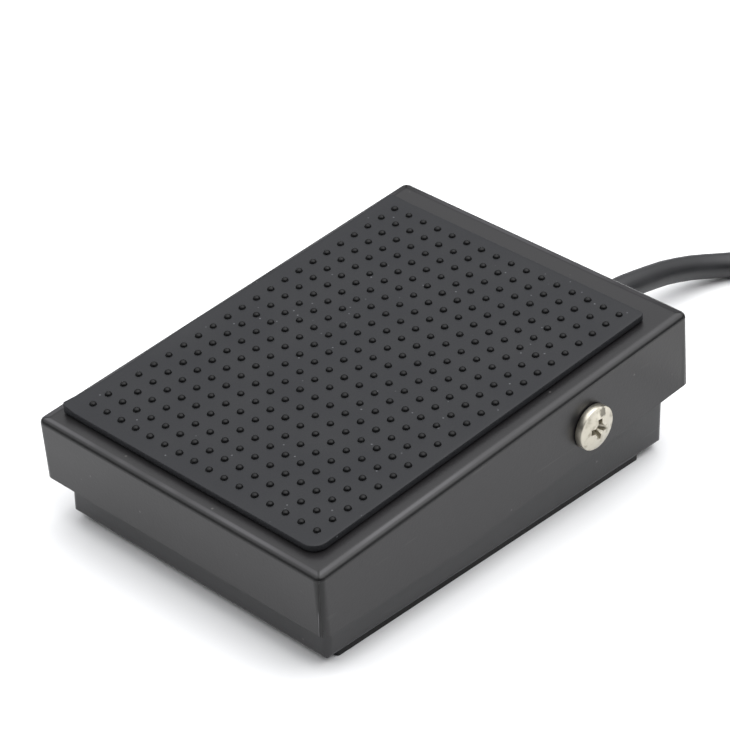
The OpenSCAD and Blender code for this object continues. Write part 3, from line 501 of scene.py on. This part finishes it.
def coreTips(settings, tip, way):
    # Three insulated cores with bare twisted ends, fanned a little from where the jacket is cut
    side = Vector((0, 0, 1)).cross(way).normalized()
    lift = way.cross(side)
    points, faces, marks = [], [], []
    for index, turn in enumerate((90, 210, 330)):
        out = math.cos(math.radians(turn)) * side + math.sin(math.radians(turn)) * lift
        reach = settings["insulated"] + settings["bare"]
        r, s = settings["diameter"] / 2, settings["strand"] / 2
        rings = [(-3, r), (settings["insulated"], r), (settings["insulated"], s), (reach - 0.3, s),
                 (reach, s * 0.5)]
        base = len(points)
        for along, radius in rings:
            centre = tip + (way * along + out * settings["spread"]) * mm
            points += ringAround(centre, side, lift, radius * mm, 12)
        for i in range(len(rings) - 1):
            faces += bandFaces(base + i * 12, 12)
            marks += [index if i < 1 else 3] * 12  # the bare strand is the fourth material
        faces += [tuple(base + k for k in range(12))[::-1], tuple(base + 48 + k for k in range(12))]
        marks += [index, 3]
    mesh = bpy.data.meshes.new("coreTips")
    mesh.from_pydata([tuple(p) for p in points], [], faces)
    mesh.polygons.foreach_set("material_index", marks)
    mesh.polygons.foreach_set("use_smooth", [True] * len(mesh.polygons))
    mesh.set_sharp_from_angle(angle=math.radians(40))
    return mesh


tipWay = (route[-1] - route[-2]).normalized()
strippedCores = makePiece("strippedCores", coreTips(coreSettings, route[-1], tipWay),
                          [redPvc, bluePvc, yellowPvc, bareCopper])
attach(strippedCores, "base")
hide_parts("cord_cores")
print("stripped cores made")


# Rubber pad and its studs; sizes in millimetres, corners from the right rear one round by the left
padSettings = {
    "left": 2.9, "right": 5.0, "front": 4.3, "rear": 7.3, "thickness": 1.7, "edge": 0.16,
    "glueInset": 0.5, "glueHeight": 0.35, "corners": (1.2, 1.2, 0.7, 3.0),
    "lift": 0.5, "liftAt": -13.0, "liftLength": 9.0, "cornerLifts": (0.8, 0.3), "cornerLength": 5.5,
    "liftReach": 5.0, "pitch": 4.05, "columns": 16, "rows": 22, "studsAt": (-0.7, -1.2),
    "studDiameter": 1.45, "studHeight": 0.6, "studSides": 12, "studVariation": 0.04, "studSeed": 7,
}


def coverPlace(settings):
    # From flat at the origin to the cover's sloping top
    tilt = Matrix.Rotation(math.radians(settings["slope"]), 4, "X")
    return Matrix.Translation(coverCentre(settings)) @ tilt


def padOutline(box, corners, inset):
    # Points round the pad, starting at its right rear corner, each corner with its own radius
    points = []
    for index, (cx, cy) in enumerate(((1, 1), (-1, 1), (-1, -1), (1, -1))):
        radius = max(corners[index] - inset, 0.05)
        for k in range(7):
            angle = math.radians(90 * (index + k / 6))
            points.append((box[(cx + 1) // 2] - cx * (inset + radius) + radius * math.cos(angle),
                           box[2 + (cy + 1) // 2] - cy * (inset + radius) + radius * math.sin(angle)))
        a = points[-1]
        nx, ny = ((-1, 1), (-1, -1), (1, -1), (1, 1))[index]
        following = max(corners[(index + 1) % 4] - inset, 0.05)
        b = (box[(nx + 1) // 2] - nx * inset, box[2 + (ny + 1) // 2] - ny * inset)
        b = (b[0] - nx * following, b[1]) if index % 2 == 0 else (b[0], b[1] - ny * following)
        points += [(a[0] + (b[0] - a[0]) * k / 24, a[1] + (b[1] - a[1]) * k / 24)
                   for k in range(1, 24)]
    return points


def padMesh(settings, cover):
    # Sheet with a small round along its upper edge, standing on its glue a little inside that edge.
    # Its left edge has lifted in one place and at the corners
    box = (settings["left"] - cover["width"] / 2, cover["width"] / 2 - settings["right"],
           settings["front"] - cover["length"] / 2, cover["length"] / 2 - settings["rear"])
    edge, top, glue = settings["edge"], settings["thickness"], settings["glueInset"]
    levels = [(glue, 0.0), (glue, settings["glueHeight"]), (0.0, settings["glueHeight"] + 0.05)]
    for turn in (math.radians(a) for a in (0, 30, 60, 90)):
        levels.append((edge * (1 - math.cos(turn)), top - edge + edge * math.sin(turn)))
    levels += [(inset, top) for inset in (0.8, 1.6, 2.6, 3.8, 5.2)]
    points, faces = [], []
    for inset, height in levels:
        ring = padOutline(box, settings["corners"], inset)
        for x, y in ring:
            wave = settings["lift"] * math.exp(-((y - settings["liftAt"]) / settings["liftLength"]) ** 2)
            for end, lift in zip((box[2], box[3]), settings["cornerLifts"]):
                wave += lift * math.exp(-((y - end) / settings["cornerLength"]) ** 2)
            wave *= max(0.0, 1 - (x - box[0]) / settings["liftReach"]) ** 2 * (height > 1)
            points.append((x * mm, y * mm, (height + wave) * mm))
    count = len(ring)
    for i in range(len(levels) - 1):
        faces += bandFaces(i * count, count)
    faces += [tuple(range(count))[::-1], tuple((len(levels) - 1) * count + k for k in range(count))]
    mesh = meshFrom("padSheet", points, faces, sharpDeg=60)
    mesh.transform(coverPlace(cover))
    return mesh


def studMesh(settings):
    # One grip stud: a low dome on a slightly wider foot
    r, h = settings["studDiameter"] / 2, settings["studHeight"]
    profile = [(r * 1.12, -0.05), (r, 0.12 * h)]
    profile += [(r * math.cos(math.radians(a)), h * (0.12 + 0.88 * math.sin(math.radians(a))))
                for a in (25, 45, 62, 78, 90)]
    points, faces = turned([(a * mm, b * mm) for a, b in profile], settings["studSides"])
    return meshFrom("studShape", points, faces, sharpDeg=80)


def studFieldTree():
    # A grid of moulded studs, each a touch larger or smaller than its neighbours
    tree = bpy.data.node_groups.new("studField", "GeometryNodeTree")
    for label, kind in (("Columns", "Int"), ("Rows", "Int"), ("Pitch", "Float"), ("Variation", "Float"),
                        ("Seed", "Int"), ("Stud", "Object"), ("Material", "Material")):
        tree.interface.new_socket(name=label, in_out="INPUT", socket_type="NodeSocket" + kind)
    tree.interface.new_socket(name="Geometry", in_out="OUTPUT", socket_type="NodeSocketGeometry")
    given = addNode(tree, "NodeGroupInput").outputs
    columnGaps = addNode(tree, "ShaderNodeMath", (given["Columns"], 1.0), operation="SUBTRACT")
    rowGaps = addNode(tree, "ShaderNodeMath", (given["Rows"], 1.0), operation="SUBTRACT")
    width = addNode(tree, "ShaderNodeMath", (columnGaps, given["Pitch"]), operation="MULTIPLY")
    length = addNode(tree, "ShaderNodeMath", (rowGaps, given["Pitch"]), operation="MULTIPLY")
    grid = addNode(tree, "GeometryNodeMeshGrid", {"Size X": width, "Size Y": length,
                   "Vertices X": given["Columns"], "Vertices Y": given["Rows"]})
    least = addNode(tree, "ShaderNodeMath", (1.0, given["Variation"]), operation="SUBTRACT")
    most = addNode(tree, "ShaderNodeMath", (1.0, given["Variation"]), operation="ADD")
    size = addNode(tree, "FunctionNodeRandomValue", {2: least, 3: most, "Seed": given["Seed"]},
                   data_type="FLOAT")
    stud = addNode(tree, "GeometryNodeObjectInfo", {"Object": given["Stud"]})
    placed = addNode(tree, "GeometryNodeInstanceOnPoints", {"Points": grid,
                     "Instance": stud.outputs["Geometry"], "Scale": size.outputs[1]})
    solid = addNode(tree, "GeometryNodeRealizeInstances", (placed,))
    finished = addNode(tree, "GeometryNodeSetMaterial", {"Geometry": solid, "Material": given["Material"]})
    addNode(tree, "NodeGroupOutput", {"Geometry": finished})
    return tree


def grownMesh(name, tree, values):
    # Runs a node tree once and keeps its result as a plain mesh
    carrier = makePiece(name + "Carrier", bpy.data.meshes.new(name + "Carrier"))
    modifier = carrier.modifiers.new("grow", "NODES")
    modifier.node_group = tree
    for item in tree.interface.items_tree:
        if item.item_type == "SOCKET" and item.in_out == "INPUT" and item.name in values:
            modifier[item.identifier] = values[item.name]
    evaluated = carrier.evaluated_get(bpy.context.evaluated_depsgraph_get())
    mesh = bpy.data.meshes.new_from_object(evaluated)
    mesh.name = name
    carrier.modifiers.remove(modifier)
    bpy.data.objects.remove(carrier)
    return mesh


padSheet = makePiece("padSheet", padMesh(padSettings, coverSettings), [padRubber])
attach(padSheet, "pedal")
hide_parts("pedal_pad")

studShape = makePiece("studShape", studMesh(padSettings))
studField = grownMesh("gripStuds", studFieldTree(), {
    "Columns": padSettings["columns"], "Rows": padSettings["rows"], "Pitch": padSettings["pitch"] * mm,
    "Variation": padSettings["studVariation"], "Seed": padSettings["studSeed"], "Stud": studShape,
    "Material": studRubber})
studPlace = Vector((*padSettings["studsAt"], padSettings["thickness"])) * mm
studField.transform(coverPlace(coverSettings) @ Matrix.Translation(studPlace))
bpy.data.objects.remove(studShape)
gripStuds = makePiece("gripStuds", studField)
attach(gripStuds, "pedal")
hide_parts("pedal_pad")
print("pad made, studs' faces:", len(studField.polygons))


# Pivot screws; sizes in millimetres
screwSettings = {
    "headDiameter": 9.5, "headHeight": 2.4, "rim": 1.45, "shoulder": 6.4, "shoulderFrom": 33.9,
    "thread": 5.0, "pitch": 0.8, "threadDepth": 0.42, "tip": 25.0, "chamfer": 0.6,
    "recess": 4.7, "wing": 1.2, "heart": 1.55, "recessDepth": 1.9, "turn": -6.0,
    "pivot": (22.0118, 20.2516), "sides": 64, "shankSides": 32,
}


def screwHeadMesh(settings):
    # Pan head with a cross recess, its seat at z = 0 and its dome upwards
    r, h, rim = settings["headDiameter"] / 2, settings["headHeight"], settings["rim"]
    crown = rim + 0.18  # where the dome starts above the rim's small round
    profile = [(0.0, 0.0), (r - 0.15, 0.0), (r, 0.15), (r, rim), (r - 0.1, crown)]
    for t in (k / 12 for k in range(1, 13)):
        profile.append(((r - 0.1) * (1 - t), crown + (h - crown) * (1 - (1 - t) ** 2.2)))
    points, faces = turned([(a * mm, b * mm) for a, b in profile], settings["sides"])
    head = makePiece("headShape", meshFrom("headShape", points, faces, sharpDeg=35))
    cut = bmesh.new()
    half, wing, heart, depth = (settings[k] for k in ("recess", "wing", "heart", "recessDepth"))
    for turn in (0, 90):
        facing = Matrix.Rotation(math.radians(turn + settings["turn"]), 3, "Z")
        corners = []
        for height, length, width in ((h + 0.6, half * 1.18, wing * 1.08), (h - 0.1, half, wing),
                                      (h - depth, half * 0.42, wing * 0.7)):
            corners += [cut.verts.new(facing @ Vector((x * length / 2 * mm, y * width / 2 * mm, height * mm)))
                        for x, y in ((1, 1), (-1, 1), (-1, -1), (1, -1))]
        cut.faces.new(corners[0:4])
        cut.faces.new(corners[8:12][::-1])
        for level in (0, 4):
            for k in range(4):
                after = (k + 1) % 4
                cut.faces.new([corners[level + i] for i in (k, 4 + k, 4 + after, after)])
    rings = []
    for height, radius in ((h + 0.6, heart * 1.1), (h - depth * 0.5, heart * 0.62),
                           (h - depth - 0.35, heart * 0.16)):
        turns = [math.radians(a + settings["turn"]) for a in range(0, 360, 30)]
        rings.append([cut.verts.new((radius * math.cos(a) * mm, radius * math.sin(a) * mm, height * mm))
                      for a in turns])
    cut.faces.new(rings[0])
    cut.faces.new(rings[2][::-1])
    for low, high in zip(rings, rings[1:]):
        for k in range(12):
            cut.faces.new((low[k], high[k], high[(k + 1) % 12], low[(k + 1) % 12]))
    bmesh.ops.recalc_face_normals(cut, faces=cut.faces)
    cutMesh = bpy.data.meshes.new("recessShape")
    cut.to_mesh(cutMesh)
    cut.free()
    cutter = makePiece("recessShape", cutMesh)
    modifier = head.modifiers.new("recess", "BOOLEAN")
    modifier.operation = "DIFFERENCE"
    modifier.solver = "EXACT"
    modifier.use_self = True
    modifier.object = cutter
    mesh = bpy.data.meshes.new_from_object(head.evaluated_get(bpy.context.evaluated_depsgraph_get()))
    for piece in (head, cutter):
        bpy.data.objects.remove(piece)
    return mesh


headMesh = screwHeadMesh(screwSettings)
print("screw head faces:", len(headMesh.polygons))


def screwPairTree():
    # The same screw on both sides, each pointing outwards
    tree = bpy.data.node_groups.new("screwPair", "GeometryNodeTree")
    for label, kind in (("Screw", "Object"), ("Reach", "Float"), ("Material", "Material")):
        tree.interface.new_socket(name=label, in_out="INPUT", socket_type="NodeSocket" + kind)
    tree.interface.new_socket(name="Geometry", in_out="OUTPUT", socket_type="NodeSocketGeometry")
    given = addNode(tree, "NodeGroupInput").outputs
    near = addNode(tree, "ShaderNodeMath", (given["Reach"], -1.0), operation="MULTIPLY")
    start = addNode(tree, "ShaderNodeCombineXYZ", {"X": near})
    finish = addNode(tree, "ShaderNodeCombineXYZ", {"X": given["Reach"]})
    ends = addNode(tree, "GeometryNodeMeshLine", {"Count": 2, "Start Location": start, "Offset": finish},
                   mode="END_POINTS")
    index = addNode(tree, "GeometryNodeInputIndex")
    halfTurn = addNode(tree, "ShaderNodeMath", (index, -1.0), operation="ADD")
    yaw = addNode(tree, "ShaderNodeMath", (halfTurn, -math.pi), operation="MULTIPLY")
    facing = addNode(tree, "ShaderNodeCombineXYZ", {"Z": yaw})
    screw = addNode(tree, "GeometryNodeObjectInfo", {"Object": given["Screw"]})
    placed = addNode(tree, "GeometryNodeInstanceOnPoints", {"Points": ends,
                     "Instance": screw.outputs["Geometry"], "Rotation": facing})
    solid = addNode(tree, "GeometryNodeRealizeInstances", (placed,))
    finished = addNode(tree, "GeometryNodeSetMaterial", {"Geometry": solid, "Material": given["Material"]})
    addNode(tree, "NodeGroupOutput", {"Geometry": finished})
    return tree


def wholeScrew(settings, seat):
    # Head, smooth shoulder and threaded shank along +X, with the seat of the head at x = 0
    length, top = seat - settings["tip"], settings["shoulderFrom"] - seat
    pitch, r, chamfer = settings["pitch"], settings["thread"] / 2, settings["chamfer"]
    profile = [(0.0, -length), (r - chamfer, -length), (r, chamfer - length)]
    z = chamfer - length
    while z + pitch < top:
        profile += [(r - settings["threadDepth"], z + pitch / 2), (r, z + pitch)]
        z += pitch
    shoulder = settings["shoulder"] / 2
    profile += [(r - 0.1, top), (shoulder, top), (shoulder, 0.02), (0.0, 0.02)]
    points, faces = turned([(a * mm, b * mm) for a, b in profile], settings["shankSides"])
    shank = meshFrom("shankShape", points, faces, sharpDeg=30)
    joined = bmesh.new()
    joined.from_mesh(headMesh)
    joined.from_mesh(shank)
    joined.transform(Matrix.Rotation(math.radians(90), 4, "Y") @ Matrix.Rotation(math.radians(90), 4, "Z"))
    mesh = bpy.data.meshes.new("screwShape")
    joined.to_mesh(mesh)
    joined.free()
    return mesh


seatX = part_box("pivot_screws")[1][0] / mm - screwSettings["headHeight"]
screwShape = makePiece("screwShape", wholeScrew(screwSettings, seatX))
screwMesh = grownMesh("pivotScrews", screwPairTree(), {"Screw": screwShape, "Reach": seatX * mm,
                                                      "Material": nickelPlate})
screwMesh.transform(Matrix.Translation(Vector((0, *screwSettings["pivot"])) * mm))
bpy.data.objects.remove(screwShape)
pivotScrewPair = makePiece("pivotScrewPair", screwMesh)
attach(pivotScrewPair, "base")
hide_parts("pivot_screws")
print("pivot screws made, seat at", round(seatX, 2), "faces:", len(screwMesh.polygons))


# Return spring under the pedal; sizes in millimetres
springSettings = {"wire": 1.0, "turns": 5, "steps": 24, "sides": 10, "drop": 3.6}


def springRoute(settings, low, high):
    # One turn lies flat at each end, and the working turns rise evenly between them
    wire, turns = settings["wire"] * mm, settings["turns"]
    radius = (high[0] - low[0] - wire) / 2
    rise = high[2] - low[2] - 3 * wire
    points = []
    for k in range((turns + 2) * settings["steps"] + 1):
        turn = k / settings["steps"]
        flat = min(turn, 1) + max(0, turn - turns - 1)
        working = max(0, min(1, (turn - 1) / turns))
        points.append(Vector(((low[0] + high[0]) / 2 + radius * math.cos(2 * math.pi * turn),
                              (low[1] + high[1]) / 2 + radius * math.sin(2 * math.pi * turn),
                              low[2] + wire / 2 + flat * wire + working * rise)))
    return points


springLow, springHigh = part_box("return_spring")
springTube = tubeMesh("coilSpring", springRoute(springSettings, springLow, springHigh),
                      springSettings["wire"] / 2 * mm, springSettings["sides"])
coilSpring = makePiece("coilSpring", springTube, [springWire])
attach(coilSpring, "base")
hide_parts("return_spring")
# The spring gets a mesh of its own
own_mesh(coilSpring)
print("return spring made, height:", round((springHigh[2] - springLow[2]) / mm, 2))


# Strain relief in the rear wall; sizes in millimetres
bushingSettings = {
    "bore": 2.81, "neck": 3.9, "flange": 5.5, "flangeThick": 1.6, "length": 21.95, "wall": 2.0,
    "height": 10, "fit": 0.06, "ribs": 7, "ribRadii": (4.5, 3.5), "groove": 0.62, "tip": 3.32, "sides": 40,
}


def bushingMesh(settings, faceY):
    # Moulded strain relief: flange each side of the wall, then a taper cut by ring grooves
    bore, neck, flange, thick, length, wall, fit, groove, tip, sides = (settings[k] for k in (
        "bore", "neck", "flange", "flangeThick", "length", "wall", "fit", "groove", "tip", "sides"))
    profile = [(bore, -wall - thick), (flange, -wall - thick), (flange, -wall - fit), (neck, -wall - fit),
               (neck, fit), (flange - 0.2, fit), (flange, 0.3), (flange, thick - 0.4), (flange - 0.4, thick)]
    start, end = thick + 0.5, length - 1.2
    step = (end - start) / settings["ribs"]
    widest, narrowest = settings["ribRadii"]
    for i in range(settings["ribs"]):
        a = start + i * step
        r = widest + (narrowest - widest) * i / settings["ribs"]
        profile += [(r - groove, a), (r - groove, a + step * 0.3), (r, a + step * 0.38),
                    (r - 0.06, a + step * 0.94)]
    profile += [(tip - 0.07, end), (tip, length - 0.5), (tip - 0.17, length), (bore, length)]
    points, faces = [], []
    for radius, along in profile:
        centre = Vector((0, faceY + along, settings["height"])) * mm
        points += ringAround(centre, Vector((1, 0, 0)), Vector((0, 0, 1)), radius * mm, sides)
    for i in range(len(profile) - 1):
        faces += bandFaces(i * sides, sides)
    last = (len(profile) - 1) * sides
    faces += [(last + k, last + (k + 1) % sides, (k + 1) % sides, k) for k in range(sides)]
    return meshFrom("strainRelief", points, faces, sharpDeg=35)


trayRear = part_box("base_tray")[1][1] / mm
strainRelief = makePiece("strainRelief", bushingMesh(bushingSettings, trayRear), [bushingRubber])
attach(strainRelief, "base")
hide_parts("cord_bushing")
print("strain relief made")


# Finishes of the solids that stay as they are
finishes = {
    "pedal_cover": coverEnamel, "base_tray": trayEnamel, "foot_mat": matRubber, "pivot_washers": naturalNylon,
    "pivot_nuts": nickelPlate, "switch_bracket": zincPlate, "bracket_screws": zincPlate,
    "switch_case": blackPhenolic, "switch_lid": brownPhenolic, "switch_screws": zincPlate,
    "switch_nuts": zincPlate, "switch_plunger": redAcetal, "contact_blade": bladeCopper,
    "com_terminal": brassStrip, "no_terminal": brassStrip, "nc_terminal": brassStrip,
    "wire_receptacles": tinnedBrass, "com_wire": redPvc, "no_wire": bluePvc, "nc_wire": yellowPvc,
    "inner_sheath": sheathPvc, "cord_clamp": zincPlate, "clamp_screws": zincPlate,
}
for nodeName, material in finishes.items():
    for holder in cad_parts[nodeName].material_slots:
        holder.material = material
print("solids finished:", len(finishes))


# Floor and light; the sky's strength rises with the height looked at, and falls on the camera's side
studioSettings = {
    "floorHex": "#f4f4f4", "floorSize": 12.0, "floorDrop": 0.0001, "skyHex": "#f7f8fa",
    "skyLow": 0.22, "skyMid": 1.37, "skyHigh": 2.4, "lowToMid": (0.3, 0.6), "midToHigh": (0.6, 0.9),
    "cameraSide": 0.12, "cameraWay": (0.7, -0.71, 0.0), "cameraSpread": (0.45, 0.85),
    "softBox": 8.0, "softBoxAt": (0.3, 0.2, 1.2), "softBoxSize": (1.4, 1.4),
    "card": 0.009, "cardSize": (0.08, 0.024), "cardAt": (0.066, 0.0705, 0.0125),
}


def floorMaterial(settings):
    # White paper sweep: dead matt, with the slightest fibre
    material, tree, shader = newMaterial("whitePaperSweep")
    where = addNode(tree, "ShaderNodeTexCoord").outputs["Object"]
    fibre = addNode(tree, "ShaderNodeTexNoise", {"Vector": where, "Scale": perMm(1.5), "Detail": 2.0})
    bump = addNode(tree, "ShaderNodeBump", {"Height": fibre, "Distance": 0.01 * mm, "Strength": 0.2})
    fillSockets(tree, shader, {"Base Color": linearColour(settings["floorHex"]), "Roughness": 0.95,
                               "Specular IOR Level": 0.2, "Normal": bump})
    return material


half = studioSettings["floorSize"] / 2
floorMesh = bpy.data.meshes.new("floor")
floorCorners = [(-half, -half, 0), (half, -half, 0), (half, half, 0), (-half, half, 0)]
floorMesh.from_pydata(floorCorners, [], [(0, 1, 2, 3)])
floor = makePiece("floor", floorMesh, [floorMaterial(studioSettings)])
floor.location.z = -studioSettings["floorDrop"]

world = bpy.data.worlds.new("studio")
bpy.context.scene.world = world
world.use_nodes = True
sky = world.node_tree
backdrop = sky.nodes["Background"]
aim = addNode(sky, "ShaderNodeTexCoord").outputs["Generated"]
lift = addNode(sky, "ShaderNodeSeparateXYZ", (aim,)).outputs["Z"]
skyLow, skyMid, skyHigh = (studioSettings[k] for k in ("skyLow", "skyMid", "skyHigh"))
low = addNode(sky, "ShaderNodeMapRange", (lift, *studioSettings["lowToMid"], skyLow, skyMid),
              interpolation_type="SMOOTHSTEP")
high = addNode(sky, "ShaderNodeMapRange", (lift, *studioSettings["midToHigh"], 0.0, skyHigh - skyMid),
               interpolation_type="SMOOTHSTEP")
rise = addNode(sky, "ShaderNodeMath", (low, high), operation="ADD")
room = addNode(sky, "ShaderNodeVectorMath", (aim, studioSettings["cameraWay"]), operation="DOT_PRODUCT")
shade = addNode(sky, "ShaderNodeMapRange", (room.outputs["Value"], *studioSettings["cameraSpread"], 1.0,
                studioSettings["cameraSide"]), interpolation_type="SMOOTHSTEP")
strength = addNode(sky, "ShaderNodeMath", (rise, shade), operation="MULTIPLY")
fillSockets(sky, backdrop, {"Strength": strength, "Color": linearColour(studioSettings["skyHex"])})


def panelLight(name, place, facing, size, energy):
    # Flat soft light; metres and watts
    data = bpy.data.lights.new(name, "AREA")
    data.shape = "RECTANGLE"
    data.size, data.size_y = size
    data.energy = energy
    light = bpy.data.objects.new(name, data)
    light.location = place
    light.rotation_euler = Vector(facing).to_track_quat("-Z", "Z").to_euler()
    bpy.context.collection.objects.link(light)
    return light


panelLight("softBox", studioSettings["softBoxAt"], -Vector(studioSettings["softBoxAt"]),
           studioSettings["softBoxSize"], studioSettings["softBox"])
# Small pale card low beyond the right rear corner, in place of the open floor that the wound cord hides
# from the paint's side. Only reflections see it
card = panelLight("lowCard", studioSettings["cardAt"], (0, -1, 0), studioSettings["cardSize"],
                  studioSettings["card"])
card.visible_camera = False
card.visible_diffuse = False

bpy.context.scene.view_settings.view_transform = "Standard"
bpy.context.scene.view_settings.look = "None"
print("floor and light set")
